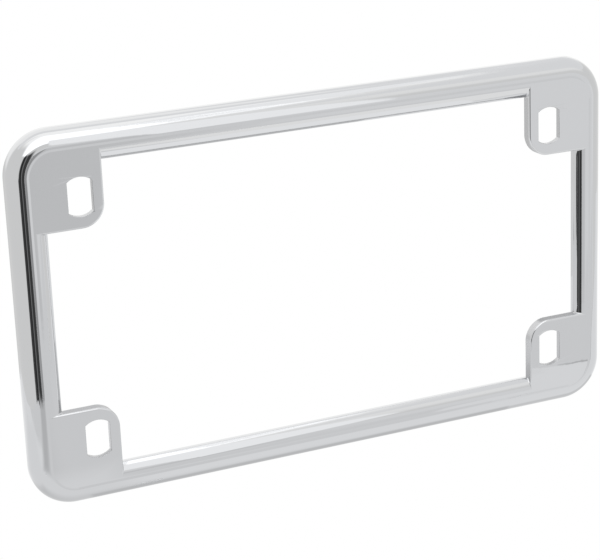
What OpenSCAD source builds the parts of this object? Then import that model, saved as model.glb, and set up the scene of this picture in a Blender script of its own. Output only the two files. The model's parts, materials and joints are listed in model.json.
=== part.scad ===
// Cast frame for a small number plate. It stands upright, with its width
// along X, its front towards -Y and the plane of its rear rim at Y = 0.
// The modules below draw it lying on its back, with height along Z, and
// the node stands it up at the end.

/* [Plate] */
// Width of the plate that the frame holds
plate_w = 177.8; // [160:0.1:200]
// Height of the plate that the frame holds
plate_h = 101.6; // [90:0.1:130]
// Gap between the plate and the wall at each end
gap_x = 0.8; // [0.3:0.05:2]
// Gap between the plate and the wall above and below
gap_y = 0.45; // [0.3:0.05:2]
// Distance between the bolt holes along the width
bolt_span_x = 146.05; // [130:0.05:150]
// Distance between the bolt holes along the height
bolt_span_y = 69.85; // [60:0.05:76]

/* [Bar] */
// Width of the bar, from the outer edge to the window
bar_w = 9.95; // [8:0.05:11]
// Depth of the frame from the rear rim to the front
depth = 6; // [5.5:0.1:8]
// Radius of the rolled edges on both sides of the bar
roll_r = 5; // [4:0.1:5.4]
// Width of the narrow flat along the top of the bar
land_w = 1.1; // [0.4:0.1:2]
// Thickness of the wall around the plate
wall = 2.7; // [1.5:0.1:3.5]
// Depth of the recess that takes the plate
recess_h = 2.9; // [1.5:0.1:3.2]
// Radius of the outer corners, seen from the front
corner_r = 12.75; // [11.5:0.05:16]
// Break of the outer edge of the rear rim
edge_break = 0.4; // [0.1:0.05:0.8]
// Radius of the rounded lip where the inner roll meets the window
lip_round = 0.35; // [0.15:0.05:0.5]

/* [Tabs] */
// Distance from the bolt slot to the tab's free side
tab_side = 6.7; // [5.5:0.1:9]
// Distance from the bolt slot to the tab's free end
tab_end = 9; // [7.5:0.1:12]
// Radius of the tab's free corner
tab_corner_r = 6.5; // [4:0.1:8]
// Radius of the rounded front edge of the tab
tab_round = 0.8; // [0.3:0.05:1.2]
// Width of each bolt slot between its flats
slot_w = 7.1; // [5:0.1:8]
// Height of each bolt slot between its round ends
slot_h = 11.1; // [9:0.1:12]
// Break of the slot's front edge
slot_break = 0.25; // [0.1:0.05:0.5]
// Width of the rim left around the relief behind each tab
relief_rim = 1.8; // [1:0.1:2.4]
// Depth of the relief behind each tab
relief_h = 1; // [0.4:0.1:1.4]

/* [Hidden] */
$fn = 96;

// How far a cut runs past the solid that it cuts
over = 1;
frame_w = plate_w + 2 * (gap_x + wall);
frame_h = plate_h + 2 * (gap_y + wall);
// Height of the straight wall below the outer roll
foot = depth - roll_r;
// Distance from the outer edge to the middle of the flat along the bar
crest = roll_r + land_w / 2;
// Free side and free end of the tab in the corner towards +X and +Y
tab_x = bolt_span_x / 2 - tab_side;
tab_y = bolt_span_y / 2 - tab_end;

// Centre of the lip's round, which touches the inner roll and the window
lip_x = bar_w - lip_round;
lip_run = lip_x - roll_r - land_w;
lip_y = foot + sqrt(pow(roll_r - lip_round, 2) - pow(lip_run, 2));
// Angle of the line from the roll's centre through the lip's centre
lip_angle = atan2(lip_y - foot, lip_run);

// What the round takes off the lip, between the window and that line
module lip_cut() {
    translate([lip_x, lip_y]) difference() {
        polygon([[0, 0], [over, 0], [over * cos(lip_angle), over * sin(lip_angle)]]);
        circle(r = lip_round);
    }
}

// Section of the bar: X runs inwards from the outer edge and Y is height
module bar_section() {
    difference() {
        intersection() {
            square([bar_w, depth]);
            union() {
                square([bar_w, foot]);
                translate([roll_r, foot]) circle(r = roll_r);
                translate([roll_r, foot]) square([land_w, roll_r]);
                translate([roll_r + land_w, foot]) circle(r = roll_r);
            }
        }
        translate([wall, -over]) square([bar_w, recess_h + over]);
        rotate(45) square(edge_break * sqrt(2), center = true);
        lip_cut();
    }
}

// Repeats a piece in the four corners by mirroring it
module in_four_corners() {
    for (mx = [0, 1], my = [0, 1])
        mirror([mx, 0, 0]) mirror([0, my, 0]) children();
}

// Rectangle with round corners, set in from the frame's outline
module inset_outline(inset) {
    r = corner_r - inset;
    square([frame_w - 2 * corner_r, frame_h - 2 * inset], center = true);
    square([frame_w - 2 * inset, frame_h - 2 * corner_r], center = true);
    in_four_corners()
        translate([frame_w / 2 - corner_r, frame_h / 2 - corner_r]) circle(r = r);
}

// Rim of four straight bars and four round corners
module rim() {
    for (my = [0, 1]) mirror([0, my, 0])
        translate([0, -frame_h / 2, 0]) rotate([90, 0, 90])
            linear_extrude(frame_w - 2 * corner_r, center = true) bar_section();
    for (mx = [0, 1]) mirror([mx, 0, 0])
        translate([-frame_w / 2, 0, 0]) rotate([90, 0, 0])
            linear_extrude(frame_h - 2 * corner_r, center = true) bar_section();
    in_four_corners()
        translate([frame_w / 2 - corner_r, frame_h / 2 - corner_r, 0])
            rotate_extrude(angle = 90)
                translate([corner_r, 0]) mirror([1, 0]) bar_section();
}

// Block that fills a corner, with its free corner rounded
module corner_block(x, y, r) {
    translate([x + r, y]) square([frame_w / 2 - x - r, frame_h / 2 - y]);
    translate([x, y + r]) square([frame_w / 2 - x, frame_h / 2 - y - r]);
    translate([x + r, y + r]) circle(r = r);
}

// What the rounded front edge takes off: X runs inwards from the tab's edge
module round_section() {
    difference() {
        translate([-over, depth - tab_round]) square(tab_round + over);
        translate([tab_round, depth - tab_round]) circle(r = tab_round);
    }
}

// Cut that rounds the tab's free side, free corner and free end
module round_cut() {
    translate([tab_x, tab_y + tab_corner_r + frame_h / 2, 0]) rotate([90, 0, 0])
        linear_extrude(frame_h / 2) round_section();
    translate([tab_x + tab_corner_r, tab_y, 0]) rotate([90, 0, 90])
        linear_extrude(frame_w / 2) round_section();
    translate([tab_x + tab_corner_r, tab_y + tab_corner_r, 0]) rotate([0, 0, 180])
        rotate_extrude(angle = 90)
            translate([tab_corner_r, 0]) mirror([1, 0]) round_section();
}

// Tab in the corner towards +X and +Y, flush with the flat along the bar
module tab() {
    difference() {
        translate([0, 0, recess_h]) linear_extrude(depth - recess_h) intersection() {
            inset_outline(crest);
            corner_block(tab_x, tab_y, tab_corner_r);
        }
        round_cut();
    }
}

// Shallow relief behind the tab, which leaves a rim along its free edges
module tab_relief() {
    translate([0, 0, recess_h - over]) linear_extrude(relief_h + over) intersection() {
        inset_outline(bar_w);
        corner_block(tab_x + relief_rim, tab_y + relief_rim, tab_corner_r - relief_rim);
    }
}

// Bolt slot with two flats and two round ends
module bolt_slot() {
    translate([bolt_span_x / 2, bolt_span_y / 2, 0]) intersection() {
        cylinder(d = slot_h, h = depth + over);
        translate([-slot_w / 2, -slot_h, 0]) cube([slot_w, 2 * slot_h, depth + over]);
    }
}

// Cut that breaks the slot's front edge, on its flats and on its round ends
module slot_edge_cut() {
    grow = slot_break + over;
    translate([bolt_span_x / 2, bolt_span_y / 2, depth - slot_break]) intersection() {
        cylinder(r1 = slot_h / 2, r2 = slot_h / 2 + grow, h = grow);
        rotate([90, 0, 0]) linear_extrude(4 * slot_h, center = true) polygon([
            [-slot_w / 2, 0], [slot_w / 2, 0],
            [slot_w / 2 + grow, grow], [-slot_w / 2 - grow, grow]
        ]);
    }
}

module plate_frame() {
    color("silver") rotate([90, 0, 0]) difference() {
        union() {
            rim();
            in_four_corners() tab();
        }
        in_four_corners() {
            tab_relief();
            bolt_slot();
            slot_edge_cut();
        }
    }
}

plate_frame();
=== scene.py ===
# %% [markdown]
# This lesson rebuilds one object in Blender: the chromed, die-cast frame that holds a
# small number plate. Its size and place come from a CAD model that is already packed,
# so the first step loads that model. It stays hidden and unchanged, and everything
# that is drawn here has to stay inside its box.

# %% Load the frame
import json
import math

import bmesh
import bpy
from mathutils import Matrix, Vector
from mathutils.geometry import tessellate_polygon

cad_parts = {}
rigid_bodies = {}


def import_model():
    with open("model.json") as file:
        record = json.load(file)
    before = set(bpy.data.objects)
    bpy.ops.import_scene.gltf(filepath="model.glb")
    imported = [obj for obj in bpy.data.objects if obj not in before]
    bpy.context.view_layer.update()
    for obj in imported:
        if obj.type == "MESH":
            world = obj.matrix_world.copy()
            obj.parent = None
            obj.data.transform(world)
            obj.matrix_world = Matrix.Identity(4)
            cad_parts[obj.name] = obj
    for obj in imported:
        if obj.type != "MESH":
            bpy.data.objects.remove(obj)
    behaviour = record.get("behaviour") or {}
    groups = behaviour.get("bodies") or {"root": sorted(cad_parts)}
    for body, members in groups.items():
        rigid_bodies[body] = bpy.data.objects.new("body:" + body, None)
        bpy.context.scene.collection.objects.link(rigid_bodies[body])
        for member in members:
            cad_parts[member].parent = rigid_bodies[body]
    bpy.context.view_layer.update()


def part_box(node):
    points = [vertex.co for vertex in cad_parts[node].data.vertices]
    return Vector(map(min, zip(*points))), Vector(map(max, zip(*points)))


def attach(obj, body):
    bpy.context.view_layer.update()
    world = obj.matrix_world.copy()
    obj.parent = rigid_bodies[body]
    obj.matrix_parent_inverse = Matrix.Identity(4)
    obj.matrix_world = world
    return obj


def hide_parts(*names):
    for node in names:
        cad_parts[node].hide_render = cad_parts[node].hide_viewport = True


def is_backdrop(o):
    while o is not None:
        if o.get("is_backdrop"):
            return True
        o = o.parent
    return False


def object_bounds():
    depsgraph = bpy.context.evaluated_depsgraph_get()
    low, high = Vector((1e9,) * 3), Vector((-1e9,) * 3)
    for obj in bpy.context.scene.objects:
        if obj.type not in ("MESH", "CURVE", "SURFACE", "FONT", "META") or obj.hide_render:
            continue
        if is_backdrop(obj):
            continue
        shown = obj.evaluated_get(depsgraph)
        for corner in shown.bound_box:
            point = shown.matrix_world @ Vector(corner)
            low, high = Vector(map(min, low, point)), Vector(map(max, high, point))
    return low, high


for leftover in list(bpy.data.objects):
    bpy.data.objects.remove(leftover)
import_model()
low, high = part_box("plate_frame")
print("CAD box in mm:", [round(1000 * (high[i] - low[i]), 2) for i in range(3)])

# %% [markdown]
# The frame is easiest to describe lying on its back: x and z run across it, and a
# height runs from the rear rim towards the viewer. All its sizes are in millimetres.
# The bar has a quarter roll outside, a narrow flat on top and a second roll that dips
# towards the window. Four tabs with bolt slots sit flush with the flat. The outside
# sizes come from the CAD box, so that the shown frame can't outgrow it.

# %% Sizes of the casting
# The whole frame, out of the CAD box, which is in metres
HALF_WIDTH = round(500 * (high[0] - low[0]), 3)
HALF_HEIGHT = round(500 * (high[2] - low[2]), 3)
DEPTH = round(1000 * (high[1] - low[1]), 3)
CORNER_R = 12.75

# The bar: the crest of its outer roll, its narrow flat and its inner edge are given
# as distances from the outer edge
ROLL_R = 5.0
FOOT = DEPTH - ROLL_R
CREST = 4.88
LAND_START = 5.6
LAND_END = 6.1
BAR_WIDTH = 9.95
RIM_WALL = 2.7
SEAT = 2.9

# The tabs, their bolt slots and the relief behind them, from the frame's middle
TAB_X = 66.325
TAB_Z = 25.925
TAB_CORNER_R = 6.5
TAB_ROUND = 0.55
SLOT_X = 73.025
SLOT_Z = 34.925
SLOT_HALF_WIDTH = 3.55
SLOT_R = 5.55
RELIEF_RIM = 1.8
RELIEF_DEPTH = 1.0
RELIEF_TOP = SEAT + RELIEF_DEPTH

print("frame", 2 * HALF_WIDTH, "by", 2 * HALF_HEIGHT, "by", DEPTH, "mm")

# %% [markdown]
# A polished casting has no knife edges. The polishing wheel softens every corner that
# it reaches, and the plating builds up a little in the inner ones. Those small radii
# catch thin lines of light, so they are given as sizes of their own. The roll also has
# a crest of its own: it turns over there and slopes down to the narrow flat, which
# lies about a tenth of a millimetre lower. That step is the fine double line along
# the bars.

# %% Small radii that catch the light
FILLET = 0.38
LIP_ROUND = 0.35
SLOT_BREAK = 0.12
SLOT_REAR_ROUND = 0.5
RIM_BREAK = 0.15
RECESS_BREAK = 0.2
RECESS_FILLET = 0.3

ROLL_OVER = 1.2
SLOPE = 7.5

# The outer roll turns over at its crest and slopes to the flat, a hair lower
slope_run = LAND_START - CREST - ROLL_OVER * math.sin(math.radians(SLOPE))
crest_drop = ROLL_OVER * (1 - math.cos(math.radians(SLOPE)))
FLAT = DEPTH - crest_drop - slope_run * math.tan(math.radians(SLOPE))
INNER_FOOT = FLAT - ROLL_R

lip_middle = BAR_WIDTH - LIP_ROUND
lip_offset = lip_middle - LAND_END
lip_height = INNER_FOOT + math.sqrt((ROLL_R - LIP_ROUND) ** 2 - lip_offset**2)
lip_angle = math.asin(lip_offset / (ROLL_R - LIP_ROUND))
print("inner roll turns", round(math.degrees(lip_angle), 1), "degrees to the lip")

# %% [markdown]
# A section of the bar is a list of points. Each has a distance inwards from the outer
# edge and a height. Arcs are cut into short steps, because a mirror finish shows every
# flat spot: a step of two or three degrees is fine enough once the mesh is smoothed.

# %% Sections of the bar
def arc(middle, radius, first, last, steps):
    """Points on an arc, from the first angle to the last, in degrees."""
    points = []
    for i in range(steps + 1):
        a = math.radians(first + (last - first) * i / steps)
        points.append((middle[0] + radius * math.cos(a), middle[1] + radius * math.sin(a)))
    return points


# A row of points this close behind a bend keeps the flat beyond it a true mirror
BEND_ROW = 0.06

# The outer roll is a quarter of an ellipse, a little narrower than it is high
outer_section = arc((RIM_BREAK, RIM_BREAK), RIM_BREAK, 270, 180, steps=4)
for x, y in arc((0, 0), 1, 180, 90, steps=40):
    outer_section.append((CREST * (1 + x), FOOT + ROLL_R * y))
outer_section += arc((CREST, DEPTH - ROLL_OVER), ROLL_OVER, 90, 90 - SLOPE, steps=4)[1:]
outer_section += [(LAND_START, FLAT), (LAND_START + BEND_ROW, FLAT), (LAND_END, FLAT)]

roll_end = 90 - math.degrees(lip_angle)
inner_section = arc((LAND_END, INNER_FOOT), ROLL_R, 90, roll_end, steps=20)
inner_section += arc((lip_middle, lip_height), LIP_ROUND, roll_end, 0, steps=5)[1:]

recess_edge = (RIM_WALL - RECESS_BREAK, RECESS_BREAK)
recess_bottom = (RIM_WALL + RECESS_FILLET, SEAT - RECESS_FILLET)
back_section = [(RIM_BREAK, 0.0)]
back_section += arc(recess_edge, RECESS_BREAK, 270, 360, steps=3)
back_section += arc(recess_bottom, RECESS_FILLET, 180, 90, steps=3)

print("section points:", len(outer_section), len(inner_section), len(back_section))

# %% [markdown]
# The frame is the same in all four quarters, so only one is drawn and then mirrored.
# A station is a place along the outline of the quarter, from the middle of the top
# bar round the corner to the middle of the right bar. A section swept past the
# stations gives a clean grid of four-sided faces, which bends light evenly.

# %% Stations along the outline
CORNER_STEPS = 32
# A bar's own stations stop this far before the tab, because its rows end on a fillet
BAR_STOP = 3
# Places where the flats meet the rounded sides of the tab
tab_flat_x = TAB_X + TAB_ROUND
tab_flat_z = TAB_Z + TAB_ROUND
corner_x = HALF_WIDTH - CORNER_R
corner_z = HALF_HEIGHT - CORNER_R


def spread(first, last, steps):
    """Evenly spread values, both ends included."""
    return [first + (last - first) * i / steps for i in range(steps + 1)]


top_bar = [("top", x) for x in spread(0, tab_flat_x - BAR_STOP, steps=16)]
top_tab = [("top", x) for x in spread(tab_flat_x, corner_x, steps=4)]
corner = [("corner", 90 * i / CORNER_STEPS) for i in range(1, CORNER_STEPS)]
side_tab = [("side", z) for z in spread(corner_z, tab_flat_z, steps=4)]
side_bar = [("side", z) for z in spread(tab_flat_z - BAR_STOP, 0, steps=8)]
outline = top_bar + top_tab + corner + side_tab + side_bar
tab_outline = top_tab + corner + side_tab


def at(station, inset, height):
    """Point at a station, that far inside the outer edge and at that height."""
    kind, value = station
    if kind == "top":
        return (value, HALF_HEIGHT - inset, height)
    if kind == "side":
        return (HALF_WIDTH - inset, value, height)
    a = math.radians(value)
    r = CORNER_R - inset
    return (corner_x + r * math.sin(a), corner_z + r * math.cos(a), height)


print("stations in a quarter:", len(outline))

# %% [markdown]
# Two helpers collect faces: one joins rows of points into a grid, and the other fills
# a flat shape that may have holes. Neither shares points with its neighbours yet.
# Since they all use the same formulas, the points land on each other and are merged
# at the end, which is simpler than counting corners.

# %% Helpers that collect faces
POLISHED = 0
DULL = 1
EDGE = 2
quarter_points = []
quarter_faces = []


def add_grid(rows, finish):
    """Faces between rows of points, all rows of one length."""
    start = len(quarter_points)
    width = len(rows[0])
    for row in rows:
        quarter_points.extend(row)
    for i in range(len(rows) - 1):
        for j in range(width - 1):
            a = start + i * width + j
            quarter_faces.append(((a, a + 1, a + width + 1, a + width), finish))


def add_flat(loops, height, finish):
    """Flat face at one height: the first loop is its outline, the others are holes."""
    start = len(quarter_points)
    for loop in loops:
        quarter_points.extend((p[0], p[1], height) for p in loop)
    flat_loops = [[Vector((p[0], p[1], 0)) for p in loop] for loop in loops]
    for triangle in tessellate_polygon(flat_loops):
        quarter_faces.append((tuple(start + i for i in triangle), finish))


# %% [markdown]
# The outside of the bar runs unbroken round the whole quarter, from the rear rim up
# over the roll to the narrow flat. The back runs round it as well: the rim that rests
# on the vehicle and the wall of the recess that takes the plate. The back is
# not polished, so it gets the second finish.

# %% Outside and back of the bar
add_grid([[at(st, s, h) for st in outline] for s, h in outer_section], POLISHED)
add_grid([[at(st, s, h) for st in outline] for s, h in back_section], DULL)
print("faces so far:", len(quarter_faces))

# %% [markdown]
# Each tab is cast in one with the bar. Its front is level with the narrow flat, and
# its free edge is rounded. Where the edge runs up the inner roll, it gets
# lower and lower and dies into the roll at a point. Where they meet, a small fillet
# fills the inner corner. The next helper gives the section of the edge at any
# place on the roll. It solves for the circle that touches both the edge and the roll.

# %% Section of the tab's edge on the roll
EDGE_STEPS = 8
FILLET_STEPS = 6
edge_middle = (TAB_ROUND, FLAT - TAB_ROUND)


def edge_on_roll(roll_height):
    """Rounded edge and fillet as (distance into the tab, height), down to the roll."""
    rise = roll_height + FILLET - edge_middle[1]
    reach = TAB_ROUND + FILLET
    if rise > 0:
        rise = min(rise, reach)
        fillet_x = edge_middle[0] - math.sqrt(max(reach**2 - rise**2, 0))
        turn = math.degrees(math.acos(rise / reach))
    else:
        fillet_x = -FILLET
        turn = 90
    edge = arc(edge_middle, TAB_ROUND, 90, 90 + turn, EDGE_STEPS)
    fillet_middle = (fillet_x, roll_height + FILLET)
    fillet = arc(fillet_middle, FILLET, turn - 90, -90, FILLET_STEPS)
    return edge, fillet


full_edge = arc(edge_middle, TAB_ROUND, 90, 180, EDGE_STEPS)
print("edge at the lip:", edge_on_roll(inner_section[-1][1])[1][-1])

# %% [markdown]
# The tab's free edge is a path too. It starts on the roll of the top bar, leaves the
# bar at the window, turns the tab's round corner and climbs the roll of the right
# bar. Each stop has a point on the edge and the direction into the tab.

# %% The tab's free edge
INTO_X = (1, 0)
INTO_Z = (0, 1)
TURN_STEPS = 24
window_x = HALF_WIDTH - BAR_WIDTH
window_z = HALF_HEIGHT - BAR_WIDTH
turn_x = TAB_X + TAB_CORNER_R
turn_z = TAB_Z + TAB_CORNER_R

roll_stops = [((TAB_X, HALF_HEIGHT - s), INTO_X) for s, h in inner_section]
free_stops = [((TAB_X, z), INTO_X) for z in spread(window_z, turn_z, steps=6)]
for i in range(1, TURN_STEPS):
    a = math.radians(90 * i / TURN_STEPS)
    away = (math.cos(a), math.sin(a))
    stop = (turn_x - TAB_CORNER_R * away[0], turn_z - TAB_CORNER_R * away[1])
    free_stops.append((stop, away))
free_stops += [((x, TAB_Z), INTO_Z) for x in spread(turn_x, window_x, steps=6)]
side_stops = [((HALF_WIDTH - s, TAB_Z), INTO_Z) for s, h in inner_section]


def beside(stop, inwards, height):
    """Point that far into the tab from a stop on its edge."""
    (x, z), (dx, dz) = stop
    return (x + inwards * dx, z + inwards * dz, height)


print("stops on the tab's edge:", len(roll_stops), len(free_stops), len(side_stops))

# %% [markdown]
# Now the edge itself. On the roll, each stop has its own height of roll. Beyond the
# window, the edge is a full quarter round with a straight wall down to the back.

# %% Rounded edge of the tab
for stops in (roll_stops, side_stops):
    edge_rows = []
    fillet_rows = []
    for stop, (s, h) in zip(stops, inner_section):
        edge, fillet = edge_on_roll(h)
        edge_rows.append([beside(stop, q, v) for q, v in edge])
        fillet_rows.append([beside(stop, q, v) for q, v in edge[-1:] + fillet])
    add_grid(edge_rows, POLISHED)
    add_grid(fillet_rows, POLISHED)

wall_heights = [inner_section[-1][1] + FILLET, SEAT]
free_rows = [[beside(stop, q, v) for q, v in full_edge] for stop in free_stops]
wall_rows = []
for stop in free_stops:
    below = [beside(stop, 0, v) for v in [FLAT - TAB_ROUND] + wall_heights]
    wall_rows.append(below)
add_grid(free_rows, POLISHED)
add_grid(wall_rows, EDGE)
print("faces so far:", len(quarter_faces))

# %% [markdown]
# Between the tabs, the inner roll and its lip run straight. The end of each row
# follows the fillet, so that no gap opens. Below the lip, a narrow wall drops to the
# seat of the plate. It is what shows as a thin second line around the window.

# %% Inner roll and lip between the tabs
def roll_row(stations, s, h, stop):
    """Row of points along the roll that ends where the fillet starts."""
    end = edge_on_roll(h)[1][-1][0]
    return [at(st, s, h) for st in stations] + [beside(stop, end, h)]


top_rows = []
side_rows = []
for stop, side_stop, (s, h) in zip(roll_stops, side_stops, inner_section):
    top_rows.append(roll_row(top_bar, s, h, stop))
    side_rows.append(roll_row(side_bar[::-1], s, h, side_stop))
add_grid(top_rows, POLISHED)
add_grid(side_rows, POLISHED)

lip_fillet = edge_on_roll(inner_section[-1][1])[1][::-1]
top_lip = top_rows[-1] + [beside(roll_stops[-1], q, v) for q, v in lip_fillet[1:]]
side_lip = side_rows[-1] + [beside(side_stops[-1], q, v) for q, v in lip_fillet[1:]]
for lip in (top_lip, side_lip):
    add_grid([lip, [(x, z, SEAT) for x, z, h in lip]], POLISHED)
print("lip points:", len(top_lip), len(side_lip))

# %% [markdown]
# A bolt slot is a circle cut off by two flats, so that the bolt's head can slide up
# and down but the washer still has metal at both sides. Its front edge is
# broken a little, and its rear edge is rounded more. Growing the outline by a small
# amount gives the wider loops of both.

# %% Bolt slot
SLOT_ARC_STEPS = 24


def slot_loop(grow):
    """Outline of the slot, made larger by some amount."""
    half = SLOT_HALF_WIDTH + grow
    r = SLOT_R + grow
    end = math.degrees(math.acos(half / r))
    upper = arc((SLOT_X, SLOT_Z), r, end, 180 - end, SLOT_ARC_STEPS)
    lower = arc((SLOT_X, SLOT_Z), r, 180 + end, 360 - end, SLOT_ARC_STEPS)
    return upper + lower


slot_rows = []
front_middle = (SLOT_BREAK, FLAT - SLOT_BREAK)
for grow, h in arc(front_middle, SLOT_BREAK, 90, 180, steps=4):
    loop = slot_loop(grow)
    slot_rows.append([(x, z, h) for x, z in loop + loop[:1]])
rear_middle = (SLOT_REAR_ROUND, RELIEF_TOP + SLOT_REAR_ROUND)
for grow, h in arc(rear_middle, SLOT_REAR_ROUND, 180, 270, steps=5):
    bottom_loop = slot_loop(grow)
    slot_rows.append([(x, z, h) for x, z in bottom_loop + bottom_loop[:1]])
add_grid(slot_rows, EDGE)
print("slot loop has", len(bottom_loop), "points")

# %% [markdown]
# The front of the tab is one flat shape with the slot as its hole. It must be truly
# flat, since it acts as a mirror: any bend would show as a swirl.

# %% Front of the tab
front_loop = [at(st, LAND_END, FLAT)[:2] for st in tab_outline]
front_loop += [beside(stop, TAB_ROUND, 0)[:2] for stop in side_stops[1:-1]]
front_loop += [beside(stop, TAB_ROUND, 0)[:2] for stop in free_stops[::-1]]
front_loop += [beside(stop, TAB_ROUND, 0)[:2] for stop in roll_stops[-2:0:-1]]
add_flat([front_loop, slot_loop(SLOT_BREAK)], FLAT, POLISHED)
print("front outline has", len(front_loop), "points")

# %% [markdown]
# Behind each tab the caster saved some metal: a shallow relief, with a rim left along
# the free edges. The seat around it is where the number plate lies. Both are flat, and
# neither is polished.

# %% Relief and seat at the back
relief_loop = [(x, window_z) for x in spread(TAB_X + RELIEF_RIM, corner_x, steps=3)]
relief_loop += arc((corner_x, corner_z), CORNER_R - BAR_WIDTH, 90, 0, steps=12)[1:]
relief_loop += [(window_x, TAB_Z + RELIEF_RIM)]
relief_loop += arc((turn_x, turn_z), TAB_CORNER_R - RELIEF_RIM, 270, 180, steps=12)
relief_wall = relief_loop + relief_loop[:1]
add_grid([[(x, z, h) for x, z in relief_wall] for h in (SEAT, RELIEF_TOP)], DULL)
add_flat([relief_loop, bottom_loop], RELIEF_TOP, DULL)

seat_loop = [at(st, back_section[-1][0], 0)[:2] for st in outline]
seat_loop += [(x, z) for x, z, h in side_lip]
seat_loop += [stop[0] for stop in free_stops[-2:0:-1]]
seat_loop += [(x, z) for x, z, h in top_lip[::-1]]
add_flat([seat_loop, relief_loop], SEAT, DULL)
print("faces in a quarter:", len(quarter_faces))

# %% [markdown]
# The quarter is mirrored into the other three, the points that coincide are merged,
# and all faces are turned outwards. Edges that turn by more than 32 degrees stay
# sharp. The weighted normals modifier lets the large flats decide the shading at their
# borders, so they stay true mirrors right up to the rolls.

# %% Build the mesh
MM = 0.001
SHARP = math.radians(32)
MERGE_DISTANCE = 2e-6
SHORTEST_EDGE = 1e-6

bm = bmesh.new()
for mx in (1, -1):
    for mz in (1, -1):
        corners = []
        for x, z, h in quarter_points:
            corners.append(bm.verts.new((MM * mx * x, -MM * h, MM * mz * z)))
        for indices, finish in quarter_faces:
            face = bm.faces.new([corners[i] for i in indices])
            face.material_index = finish
            face.smooth = True
bmesh.ops.remove_doubles(bm, verts=bm.verts, dist=MERGE_DISTANCE)
bmesh.ops.dissolve_degenerate(bm, edges=bm.edges, dist=SHORTEST_EDGE)
bmesh.ops.recalc_face_normals(bm, faces=bm.faces)
open_edges = [e for e in bm.edges if len(e.link_faces) != 2]
for edge in bm.edges:
    if len(edge.link_faces) == 2:
        edge.smooth = edge.calc_face_angle() < SHARP
frame_mesh = bpy.data.meshes.new("plate_frame_shown")
bm.to_mesh(frame_mesh)
volume = bm.calc_volume()
bm.free()
frame_piece = bpy.data.objects.new("plate_frame_shown", frame_mesh)
bpy.context.scene.collection.objects.link(frame_piece)
print("faces:", len(frame_mesh.polygons), "open edges:", len(open_edges))
print("volume in cubic mm:", round(volume * 1e9, 1))

weighted = frame_piece.modifiers.new("weighted_normals", "WEIGHTED_NORMAL")
weighted.mode = "FACE_AREA"
weighted.weight = 50
weighted.keep_sharp = True

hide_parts("plate_frame")
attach(frame_piece, "root")

# %% [markdown]
# The finish is decorative chrome: a thin layer of chromium over nickel on a polished
# casting. Chromium sends back a bit more than half of the light at a right angle,
# with a hint of blue, and nearly all of it at a low angle. A metallic Principled
# shader with that colour does the same. What makes it look real is small faults: the
# polished metal is never quite flat, and the shine differs slightly from place to place.

# %% Helpers for node groups
def new_group(name, inputs, outputs):
    """Shader node group with named sockets, and its input and output nodes."""
    group = bpy.data.node_groups.new(name, "ShaderNodeTree")
    for socket_name, kind, value in inputs:
        socket = group.interface.new_socket(name=socket_name, in_out="INPUT", socket_type=kind)
        if value is not None:
            socket.default_value = value
    for socket_name, kind in outputs:
        group.interface.new_socket(name=socket_name, in_out="OUTPUT", socket_type=kind)
    return group, group.nodes.new("NodeGroupInput"), group.nodes.new("NodeGroupOutput")


def calculate(tree, operation, *values):
    """Math node. A value is a number or the socket that it comes from."""
    node = tree.nodes.new("ShaderNodeMath")
    node.operation = operation
    for socket, value in zip(node.inputs, values):
        if isinstance(value, (int, float)):
            socket.default_value = value
        else:
            tree.links.new(value, socket)
    return node.outputs[0]


NUMBER = "NodeSocketFloat"
VECTOR = "NodeSocketVector"
print("group helpers ready")

# %% [markdown]
# The ripple of the polish is a height made of two sizes of noise: long soft waves from
# the polishing wheel and a finer unevenness of the plating, like the skin of an orange.
# On the front it is only about a hundredth of a millimetre high, but a mirror doubles
# each slope.

# %% Node group for the ripple
ripple_inputs = [
    ("Position", VECTOR, None),
    ("Wave Size", NUMBER, 0.012),
    ("Skin Size", NUMBER, 0.0018),
    ("Skin Share", NUMBER, 0.15),
]
ripple, ripple_in, ripple_out = new_group("polish_ripple", ripple_inputs, [("Height", NUMBER)])
heights = []
for size_name in ("Wave Size", "Skin Size"):
    noise = ripple.nodes.new("ShaderNodeTexNoise")
    noise.inputs["Detail"].default_value = 1.5
    noise.inputs["Roughness"].default_value = 0.4
    ripple.links.new(ripple_in.outputs["Position"], noise.inputs["Vector"])
    scale = calculate(ripple, "DIVIDE", 1.0, ripple_in.outputs[size_name])
    ripple.links.new(scale, noise.inputs["Scale"])
    heights.append(noise.outputs["Fac"])
skin = calculate(ripple, "MULTIPLY", heights[1], ripple_in.outputs["Skin Share"])
ripple.links.new(calculate(ripple, "ADD", heights[0], skin), ripple_out.inputs["Height"])
print("ripple nodes:", len(ripple.nodes))

# %% [markdown]
# The shine of plated metal varies a little: handling and cleaning leave it slightly
# hazy in patches. This group turns soft noise into a roughness between two limits, so
# that the bright front and the dull back can share it with their own limits.

# %% Node group for the haze
haze_inputs = [
    ("Position", VECTOR, None),
    ("Patch Size", NUMBER, 0.02),
    ("Least", NUMBER, 0.02),
    ("Most", NUMBER, 0.06),
]
haze, haze_in, haze_out = new_group("plate_haze", haze_inputs, [("Roughness", NUMBER)])
haze_noise = haze.nodes.new("ShaderNodeTexNoise")
haze_noise.inputs["Detail"].default_value = 4
haze.links.new(haze_in.outputs["Position"], haze_noise.inputs["Vector"])
haze_scale = calculate(haze, "DIVIDE", 1.0, haze_in.outputs["Patch Size"])
haze.links.new(haze_scale, haze_noise.inputs["Scale"])
haze_range = haze.nodes.new("ShaderNodeMapRange")
haze_range.interpolation_type = "SMOOTHSTEP"
haze_range.inputs["From Min"].default_value = 0.35
haze_range.inputs["From Max"].default_value = 0.65
haze.links.new(haze_noise.outputs["Fac"], haze_range.inputs["Value"])
haze.links.new(haze_in.outputs["Least"], haze_range.inputs["To Min"])
haze.links.new(haze_in.outputs["Most"], haze_range.inputs["To Max"])
haze.links.new(haze_range.outputs["Result"], haze_out.inputs["Roughness"])
print("haze nodes:", len(haze.nodes))

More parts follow.
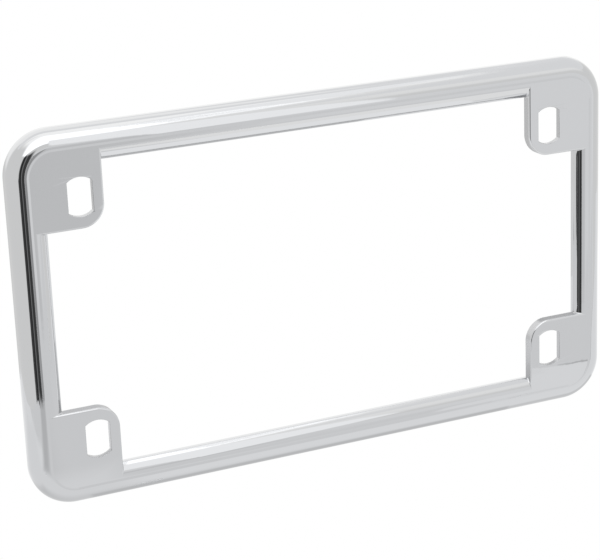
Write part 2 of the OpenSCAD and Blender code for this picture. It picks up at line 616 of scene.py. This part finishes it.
# %% [markdown]
# All three finishes are the same metal. The front was polished before plating, so it is
# a mirror with a faint ripple. The back kept the skin of the casting under the same
# plating, so it is greyer, duller and grainy. The walls of the tabs and slots were only
# ground, and they lie between the two.

# %% Materials
CHROME_COLOUR = (0.549, 0.556, 0.569, 1)
DULL_COLOUR = (0.40, 0.405, 0.41, 1)
EDGE_COLOUR = (0.455, 0.46, 0.472, 1)


def plated(name, colour, haze_limits, wave, skin_share, bump_height):
    """Material of plated metal with its own colour, haze and ripple."""
    material = bpy.data.materials.new(name)
    material.use_nodes = True
    tree = material.node_tree
    shader = tree.nodes["Principled BSDF"]
    shader.inputs["Base Color"].default_value = colour
    shader.inputs["Metallic"].default_value = 1
    place = tree.nodes.new("ShaderNodeTexCoord").outputs["Object"]
    haze_node = tree.nodes.new("ShaderNodeGroup")
    haze_node.node_tree = haze
    haze_node.inputs["Least"].default_value = haze_limits[0]
    haze_node.inputs["Most"].default_value = haze_limits[1]
    tree.links.new(place, haze_node.inputs["Position"])
    tree.links.new(haze_node.outputs["Roughness"], shader.inputs["Roughness"])
    ripple_node = tree.nodes.new("ShaderNodeGroup")
    ripple_node.node_tree = ripple
    ripple_node.inputs["Wave Size"].default_value = wave
    ripple_node.inputs["Skin Share"].default_value = skin_share
    tree.links.new(place, ripple_node.inputs["Position"])
    bump = tree.nodes.new("ShaderNodeBump")
    bump.inputs["Strength"].default_value = 1
    bump.inputs["Distance"].default_value = bump_height
    tree.links.new(ripple_node.outputs["Height"], bump.inputs["Height"])
    tree.links.new(bump.outputs["Normal"], shader.inputs["Normal"])
    return material


chrome = plated("polished_chrome", CHROME_COLOUR, (0.015, 0.05), 0.012, 0.1, 0.00004)
dull = plated("unpolished_plating", DULL_COLOUR, (0.28, 0.42), 0.004, 0.8, 0.0002)
ground = plated("ground_edge", EDGE_COLOUR, (0.2, 0.3), 0.004, 0.5, 0.00006)
for material in (chrome, dull, ground):
    frame_mesh.materials.append(material)
print("materials:", [m.name for m in frame_mesh.materials])

# %% [markdown]
# Chrome has no look of its own: it shows the room. Product photographers put such a
# part in a tent of white cloth with one big lamp above the camera. The only black
# thing is the gap that the lens looks through, and it draws the dark line along the
# side bars. The far cloth can be painted on the world by direction, as soft
# rectangles: each has an angle around, an angle up, two half sizes, two soft edges and
# a lean. What stands near the part comes later, as real cards.

# %% Node group for a soft rectangle of light
card_inputs = [
    ("Around", NUMBER, 0),
    ("Up", NUMBER, 0),
    ("Middle Around", NUMBER, 0),
    ("Middle Up", NUMBER, 0),
    ("Half Width", NUMBER, 10),
    ("Half Height", NUMBER, 10),
    ("Soft Sides", NUMBER, 5),
    ("Soft Ends", NUMBER, 5),
    ("Lean", NUMBER, 0),
]
card, card_in, card_out = new_group("light_card", card_inputs, [("Mask", NUMBER)])


def soft_edge(distance, half, softness):
    """Mask that falls from 1 to 0 over the soft edge at that distance."""
    inside = calculate(card, "SUBTRACT", half, calculate(card, "ABSOLUTE", distance))
    ramp = card.nodes.new("ShaderNodeMapRange")
    ramp.interpolation_type = "SMOOTHSTEP"
    ramp.inputs["From Min"].default_value = -0.5
    ramp.inputs["From Max"].default_value = 0.5
    card.links.new(calculate(card, "DIVIDE", inside, softness), ramp.inputs["Value"])
    return ramp.outputs["Result"]


from_middle_up = calculate(card, "SUBTRACT", card_in.outputs["Up"], card_in.outputs["Middle Up"])
shifted = calculate(card, "MULTIPLY", card_in.outputs["Lean"], from_middle_up)
from_middle = calculate(
    card, "SUBTRACT", card_in.outputs["Around"], card_in.outputs["Middle Around"])
from_middle = calculate(card, "SUBTRACT", from_middle, shifted)
sides = soft_edge(from_middle, card_in.outputs["Half Width"], card_in.outputs["Soft Sides"])
ends = soft_edge(from_middle_up, card_in.outputs["Half Height"], card_in.outputs["Soft Ends"])
card.links.new(calculate(card, "MULTIPLY", sides, ends), card_out.inputs["Mask"])
print("card nodes:", len(card.nodes))

# %% [markdown]
# Angles are in degrees. Around is 0 to the right of the part, 90 behind it and -90 in
# front of it. Up is 0 at the horizon. A brightness of 1.8 shows as pure white in chrome,
# and 1 shows as the light grey of the flats. Each card is blended over the ones before.

# %% Lights and shades of the far tent
TENT_BRIGHTNESS = 1.03
TENT_COLOUR = (1, 0.995, 0.98, 1)
TENT_CARDS = [
    # name, (around, up), half sizes, (soft sides, soft ends), lean, brightness
    ("overhead glow", (-40, 98), (206, 42), (73, 21), -0.28, 1.55),
    ("right haze", (-45, 42), (22, 22), (16, 14), 0, 1.26),
    ("front floor", (-55, -46), (60, 21), (20, 5), 0, 1.26),
    ("back wall", (89, 38), (49, 36), (16, 15), 0, 1.39),
    ("shade behind", (72, -26), (26, 31), (44, 30), 0.35, 0.70),
]
world = bpy.data.worlds.new("light_tent")
bpy.context.scene.world = world
world.use_nodes = True
sky = world.node_tree
sky.nodes.clear()
direction = sky.nodes.new("ShaderNodeSeparateXYZ")
sky.links.new(sky.nodes.new("ShaderNodeTexCoord").outputs["Generated"], direction.inputs[0])
around = calculate(sky, "ARCTAN2", direction.outputs["Y"], direction.outputs["X"])
around = calculate(sky, "DEGREES", around)
up_angle = calculate(sky, "DEGREES", calculate(sky, "ARCSINE", direction.outputs["Z"]))
# Adding 0 only makes a socket of the number, for the first card to blend with
brightness = calculate(sky, "ADD", TENT_BRIGHTNESS, 0)
for name, middle, half, soft, card_lean, value in TENT_CARDS:
    node = sky.nodes.new("ShaderNodeGroup")
    node.node_tree = card
    node.label = name
    sky.links.new(around, node.inputs["Around"])
    sky.links.new(up_angle, node.inputs["Up"])
    node.inputs["Middle Around"].default_value = middle[0]
    node.inputs["Middle Up"].default_value = middle[1]
    node.inputs["Half Width"].default_value = half[0]
    node.inputs["Half Height"].default_value = half[1]
    node.inputs["Soft Sides"].default_value = soft[0]
    node.inputs["Soft Ends"].default_value = soft[1]
    node.inputs["Lean"].default_value = card_lean
    blend = sky.nodes.new("ShaderNodeMix")
    blend.inputs["B"].default_value = value
    sky.links.new(brightness, blend.inputs["A"])
    sky.links.new(node.outputs["Mask"], blend.inputs["Factor"])
    brightness = blend.outputs["Result"]
print("cards in the tent:", len(TENT_CARDS))

# %% [markdown]
# The photo was cut out and set on plain white, with no shadow. So a ray that comes
# straight from the camera sees white, and only mirrored rays see the tent.

# %% World output
tent = sky.nodes.new("ShaderNodeBackground")
tent.inputs["Color"].default_value = TENT_COLOUR
sky.links.new(brightness, tent.inputs["Strength"])
paper = sky.nodes.new("ShaderNodeBackground")
paper.inputs["Color"].default_value = (1, 1, 1, 1)
pick = sky.nodes.new("ShaderNodeMixShader")
seen = sky.nodes.new("ShaderNodeLightPath")
sky.links.new(seen.outputs["Is Camera Ray"], pick.inputs["Fac"])
sky.links.new(tent.outputs[0], pick.inputs[1])
sky.links.new(paper.outputs[0], pick.inputs[2])
world_output = sky.nodes.new("ShaderNodeOutputWorld")
sky.links.new(pick.outputs[0], world_output.inputs["Surface"])
bpy.context.scene.view_settings.view_transform = "Standard"
print("world nodes:", len(sky.nodes))

# %% [markdown]
# Some things stand so close to the part that each bar shows them from another side: the
# sheet that it hangs over, the wall on the right, the front of the tent and the gap
# around the lens. They are real cards, flat shapes that glow. A card has a soft rim:
# an attribute on its points falls from 1 to 0 there, and the glow turns clear with it.

# %% Material of a card
def card_material(name, brightness):
    """Glow that turns clear where the rim attribute falls to 0."""
    material = bpy.data.materials.new(name)
    material.use_nodes = True
    tree = material.node_tree
    tree.nodes.clear()
    rim = tree.nodes.new("ShaderNodeAttribute")
    rim.attribute_name = "rim"
    fade = tree.nodes.new("ShaderNodeMapRange")
    fade.interpolation_type = "SMOOTHSTEP"
    tree.links.new(rim.outputs["Fac"], fade.inputs["Value"])
    glow = tree.nodes.new("ShaderNodeEmission")
    glow.inputs["Strength"].default_value = brightness
    clear = tree.nodes.new("ShaderNodeBsdfTransparent")
    mix = tree.nodes.new("ShaderNodeMixShader")
    tree.links.new(fade.outputs["Result"], mix.inputs["Fac"])
    tree.links.new(clear.outputs[0], mix.inputs[1])
    tree.links.new(glow.outputs[0], mix.inputs[2])
    output = tree.nodes.new("ShaderNodeOutputMaterial")
    tree.links.new(mix.outputs[0], output.inputs["Surface"])
    return material


print("card material ready")

# %% [markdown]
# The next helper makes a card from the corners of its outline. It draws the outline
# twice, half a rim inside and half a rim outside, and fills the inside. The camera
# doesn't see the cards, only mirrored rays do, because the photo shows none of them.
# Three small helpers place outlines: level ones, ones in front of the part, and ones on
# a ceiling 3 m up, where only the slope of the mirrored ray counts.

# %% Helpers that make and place cards
CEILING = 3000
cards = []


def add_card(name, corners, rims, brightness, grow=0, cover=1):
    """Flat card from its corner points and the width in mm of its soft rim.

    The width is one number or one for each corner. Grow is how far the card is made
    larger, and cover is how much of its middle is there, from 0 to 1.
    """
    corners = [Vector(p) * MM for p in corners]
    count = len(corners)
    if not isinstance(rims, list):
        rims = [rims] * count
    normal = Vector()
    for i in range(count):
        normal += corners[i].cross(corners[(i + 1) % count])
    normal.normalize()
    inner = []
    outer = []
    for i in range(count):
        before = (corners[i] - corners[i - 1]).normalized()
        after = (corners[(i + 1) % count] - corners[i]).normalized()
        away = (before + after).cross(normal).normalized()
        inner.append(corners[i] + away * (grow - rims[i] / 2) * MM)
        outer.append(corners[i] + away * (grow + rims[i] / 2) * MM)
    u = normal.orthogonal().normalized()
    v = normal.cross(u)
    flat = [[Vector((p.dot(u), p.dot(v), 0)) for p in inner]]
    faces = [(i, (i + 1) % count, count + (i + 1) % count, count + i) for i in range(count)]
    faces += [tuple(t) for t in tessellate_polygon(flat)]
    mesh = bpy.data.meshes.new(name)
    mesh.from_pydata(inner + outer, [], faces)
    rim = mesh.attributes.new("rim", "FLOAT", "POINT")
    rim.data.foreach_set("value", [float(cover)] * count + [0.0] * count)
    mesh.materials.append(card_material(name, brightness))
    piece = bpy.data.objects.new(name, mesh)
    bpy.context.scene.collection.objects.link(piece)
    piece.visible_camera = False
    piece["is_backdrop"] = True
    cards.append(piece)


def level(height, points):
    """Points of a level card at a height, given as (x, y)."""
    return [(x, y, height) for x, y in points]


def facing(distance, points):
    """Points of a card that far in front of the part, given as (x, z)."""
    return [(x, -distance, z) for x, z in points]


def overhead(points, height=CEILING):
    """Points on the ceiling, given as slopes to the right and to the back."""
    return [(x * height, y * height, height) for x, y in points]


print("card helpers ready")

# %% [markdown]
# The part hangs just above a white sheet with a wavy front edge. The rolls of the bottom
# bar and the lower parts of the tabs mirror it, and its edge shows as a thin dark line
# across the lower right tab. Some parts of it get more light than others. A white
# strip hangs before the window and lights the underside of the top bar's inner roll.
# A card that covers another lies some layers above it. The two glows share a height,
# so they mix where they overlap.

# %% White sheet under the part
SHEET_HEIGHT = -55
LAYER = 0.05
STRIP_HEIGHT = 20
STRIP = [(-64, -26), (62, -26), (62, -8), (-64, -8)]
SHEET = [(-176, -10), (-160, -60), (-134, -87), (-87, -86), (-60, -98), (-37, -113),
         (-8, -99), (22, -82), (49, -70), (75, -48.5), (91, -37.5), (110, -36.5), (132, -54),
         (157, -60), (185, -57), (218, -44), (330, -30), (330, 110), (-150, 110),
         (-162, 89), (-172, 65), (-177, 42), (-179, 9)]
SHEET_GLOW = [(-177, -8), (-120, -50), (-99, -50), (-97, -21), (40, -20), (72, -50),
              (91, -37.5), (110, -35.5), (132, -52), (157, -58), (185, -55), (218, -42),
              (330, -28), (330, 105), (-150, 105), (-161, 89), (-171, 65), (-176, 42),
              (-178, 9)]
FRONT_GLOW = [(-24, -102), (22, -79), (48, -67), (74, -46), (88, -37), (88, -34), (-24, -34)]
EDGE_LINE = [(97, -37.2), (110, -36.5), (132, -54), (157, -60), (185, -57), (218, -44),
             (330, -30), (330, 0), (97, 0)]
glow_rims = [1, 14, 14, 3, 6, 14] + [1] * 13
add_card("sheet_edge", level(SHEET_HEIGHT - 4 * LAYER, EDGE_LINE), 2, 0.55, grow=1.4)
add_card("white_sheet", level(SHEET_HEIGHT, SHEET), 1.5, 1.01)
add_card("sheet_glow", level(SHEET_HEIGHT + 2 * LAYER, SHEET_GLOW), glow_rims, 1.16)
add_card("front_glow", level(SHEET_HEIGHT + 2 * LAYER, FRONT_GLOW), 5, 1.03)
add_card("white_strip", level(STRIP_HEIGHT, STRIP), 1.5, 1.31)
print("sheet corners:", len(SHEET), "cards:", len(cards))

# %% [markdown]
# The light on the sheet isn't even, and cards paint it. It is brightest just before the
# bottom bar and darkest right under it, where the part keeps the light off. The lens takes
# light from the left side, and its painted shade draws a soft grey band down the lower left
# corner.

# %% Light and shade painted on the sheet
# Each card paints light or shade on the sheet: the first is a brighter pool, the rest are shade
SHEET_LIGHT_AND_SHADE = [
    # name, outline, rim, brightness
    ("near_light", [(-70, -17), (100, -17), (100, 12), (-70, 12)], [8, 8, 10, 10], 1.18),
    ("lens_shade", [(-118, -95), (-68, -95), (-84, -34), (-106, -34)], 26, 0.76),
    ("left_shade", [(-160, -30), (-62, -30), (-62, 40), (-160, 40)], 24, 1.11),
    ("foot_shade", [(-96, -6), (100, -6), (100, 12), (-96, 12)], [12, 3, 3, 12], 0.9),
    ("foot_shade_middle", [(-75, -5.5), (60, -5.5), (60, 30), (-75, 30)], 3.5, 0.79),
]
patch_height = SHEET_HEIGHT + 3 * LAYER
for name, points, rims, value in SHEET_LIGHT_AND_SHADE:
    add_card(name, level(patch_height, points), rims, value)
    patch_height += LAYER
print("shades on the sheet:", len(SHEET_LIGHT_AND_SHADE))

# %% [markdown]
# The bright wall stands close on the right. Its lower edge slopes, and that draws the
# long light triangles along the top and bottom bars: they widen where the mirrored ray
# passes over the edge.

# %% Side wall
WALL_PLACE = 120
WALL = [(-510, 0), (-480, -43), (-393, -14), (-304, 6), (-266, 13), (-210, 25), (-215, 90),
        (-235, 150), (-262, 215), (-300, 285), (-400, 420), (-620, 600), (-800, 600),
        (-800, 240), (-700, 180), (-620, 120), (-560, 75), (-525, 30)]
wall_rims = [30] * 12 + [220, 220, 110, 90, 70, 50]
add_card("side_wall", [(WALL_PLACE, y, z) for y, z in WALL], wall_rims, 1.42)
print("wall corners:", len(WALL))

# %% [markdown]
# Photographers call a small dark card a flag. Two flags stand close behind the part,
# where only the ground tops of the two lower tabs look. They make those edges greyer
# than the flats, so that the tabs look as thick as they are.

# %% Flags behind the lower tabs
FLAG_BEHIND = 40
FLAG_BOTTOM = -22
FLAG_TOP = 16
FLAGS = [
    # name, left and right end, brightness
    ("left_flag", -102, -40, 0.98),
    ("right_flag", 76, 142, 0.78),
]
for name, left_end, right_end, value in FLAGS:
    points = [(left_end, FLAG_BOTTOM), (right_end, FLAG_BOTTOM)]
    points += [(right_end, FLAG_TOP), (left_end, FLAG_TOP)]
    add_card(name, facing(-FLAG_BEHIND, points), 8, value)
print("flags:", len(FLAGS))

# %% [markdown]
# The flats of the tabs all mirror the front of the tent, each a different part of it.
# So it is a shade darker beside the lens, where the upper left tab looks, and lighter
# far to the right. Each part hangs a step nearer than the one that it covers.

# %% Front of the tent
FRONT_DISTANCE = 1200
FRONT_STEP = 10
FRONT_PARTS = [
    # name, outline, rim, brightness
    ("front_wall", [(-40, -640), (1700, -640), (1700, 190), (-40, 190)], 110, 1.09),
    ("lens_penumbra", [(-60, -640), (430, -640), (430, 40), (-60, 40)],
     [160, 400, 400, 160], 0.88),
    ("light_strip", [(1150, -640), (1700, -640), (1700, -110), (1150, -110)], 120, 1.14),
    ("low_shade", [(-40, -640), (1500, -640), (1500, -450), (-40, -400)], 60, 1.02),
]
for step, (name, points, rims, value) in enumerate(FRONT_PARTS):
    add_card(name, facing(FRONT_DISTANCE - step * FRONT_STEP, points), rims, value)
print("front parts:", len(FRONT_PARTS))

# %% [markdown]
# The gap around the lens is the only black thing in the tent. It draws the dark lines
# along the left and right bars. It is made of a few cards at different distances, since
# its two ends meet the two bars at different angles: the cloth is folded back far
# behind on the left, and something lighter hangs in the middle and shows as a fine
# streak. The veil is half clear, for the step of grey beside the left line.

# %% Gap around the lens
BLACK = 0.065
GAP_PARTS = [
    # name, distance, outline, rim, brightness
    ("far_gap", 6000, [(-5000, -2950), (-2500, -2950), (-2500, 3000), (-3800, 3000),
                       (-4300, -1000)], 1000, BLACK),
    ("lens_gap", 1100, [(-740, -540), (-40, -540), (-60, 0), (-150, 380), (-640, 550)],
     [160, 120, 120, 200, 120], BLACK),
    ("gap_streak", 1090, [(-480, -560), (-370, -560), (-370, 450), (-480, 450)], 30, 0.24),
    ("gap_core", 1080, [(-660, -470), (-540, -470), (-540, 450), (-640, 450)], 80, 0.025),
    ("near_gap", 567, [(-511, -236), (-360, -236), (-360, -90), (-511, -90)],
     [80, 30, 30, 80], BLACK),
]
VEIL_DISTANCE = 355
VEIL = [(-65, -250), (14, -250), (6, 40), (-65, 60)]
for name, distance, points, rims, value in GAP_PARTS:
    add_card(name, facing(distance, points), rims, value)
add_card("gap_veil", facing(VEIL_DISTANCE, VEIL), 10, 0.05, cover=0.5)
print("cards so far:", len(cards))

# %% [markdown]
# The top bar mirrors the ceiling. A big soft box gives the white highlight, which fades
# to the right. A strip of light beside it runs on towards the back, and the two mix
# where they overlap, since they share one height. A seam in the cloth, a bit below the
# rest, ends the highlight at the back.

# %% Ceiling
SEAM_HEIGHT = CEILING - 50
SEAM = [(-1.0, 0.21), (0.58, 0.21), (0.70, 0.52), (-1.0, 0.52)]
RIGHT_CLOTH = [(0.55, -1.0), (2.2, -1.0), (2.2, 2.2), (0.55, 2.2)]
SOFT_BOX = [(0.45, -1.9), (0.455, -0.8), (0.49, -0.45), (0.38, -0.24), (0.0, -0.2),
            (-0.6, -0.5), (-1.2, -1.2), (-1.2, -1.9)]
BOX_STRIP = [(0.45, -0.8), (0.49, -0.45), (0.50, -0.18), (0.535, 0.09), (0.60, 0.36),
             (0.75, 0.84), (0.72, 0.84), (0.565, 0.38), (0.48, 0.2), (0.38, 0.1),
             (0.3, -0.24)]
box_rims = [350, 260, 220, 250, 500, 900, 900, 500]
add_card("ceiling_seam", overhead(SEAM, SEAM_HEIGHT), 200, 1.2)
add_card("ceiling_right", overhead(RIGHT_CLOTH), 300, 1.16)
add_card("soft_box", overhead(SOFT_BOX), box_rims, 1.95)
add_card("soft_box_strip", overhead(BOX_STRIP), 60, 1.4)
print("cards in all:", len(cards))

# %% [markdown]
# The camera was solved from the photo: its place, its direction and its lens make the
# outline, the window and the four slots land where the photo shows them. It stands to
# the left, a bit above, and about 0.6 m away. It turns to the right, dips towards the
# part and leans a little to one side. The lens and its sensor are in millimetres.

# %% Camera
CAMERA_PLACE = Vector((-0.2330, -0.51056, 0.17651))
TURN = math.radians(23.875)
DIP = math.radians(17.661)
CAMERA_LEAN = math.radians(-2.386)
LENS = 121.68
SENSOR_WIDTH = 36

camera_data = bpy.data.cameras.new("photo_camera")
camera = bpy.data.objects.new("photo_camera", camera_data)
bpy.context.scene.collection.objects.link(camera)
bpy.context.scene.camera = camera
camera_data.sensor_width = SENSOR_WIDTH
camera_data.lens = LENS
camera_data.clip_start = 0.01
forward = Vector((math.sin(TURN) * math.cos(DIP), math.cos(TURN) * math.cos(DIP), -math.sin(DIP)))
level_right = Vector((math.cos(TURN), -math.sin(TURN), 0))
level_up = level_right.cross(forward)
right = level_right * math.cos(CAMERA_LEAN) + level_up * math.sin(CAMERA_LEAN)
up = right.cross(forward)
axes = Matrix((right, up, -forward)).transposed()
camera.matrix_world = Matrix.Translation(CAMERA_PLACE) @ axes.to_4x4()
print("camera distance in mm:", round(1000 * CAMERA_PLACE.length, 1))

# %% [markdown]
# Last, the size of what is shown is printed, in the same form as the CAD box at the start.
# They must agree, because other scenes place the part by the CAD model.

# %% Finish
shown_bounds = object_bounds()
shown_size = [round(1000 * (shown_bounds[1][i] - shown_bounds[0][i]), 2) for i in range(3)]
print("shown in mm:", shown_size)
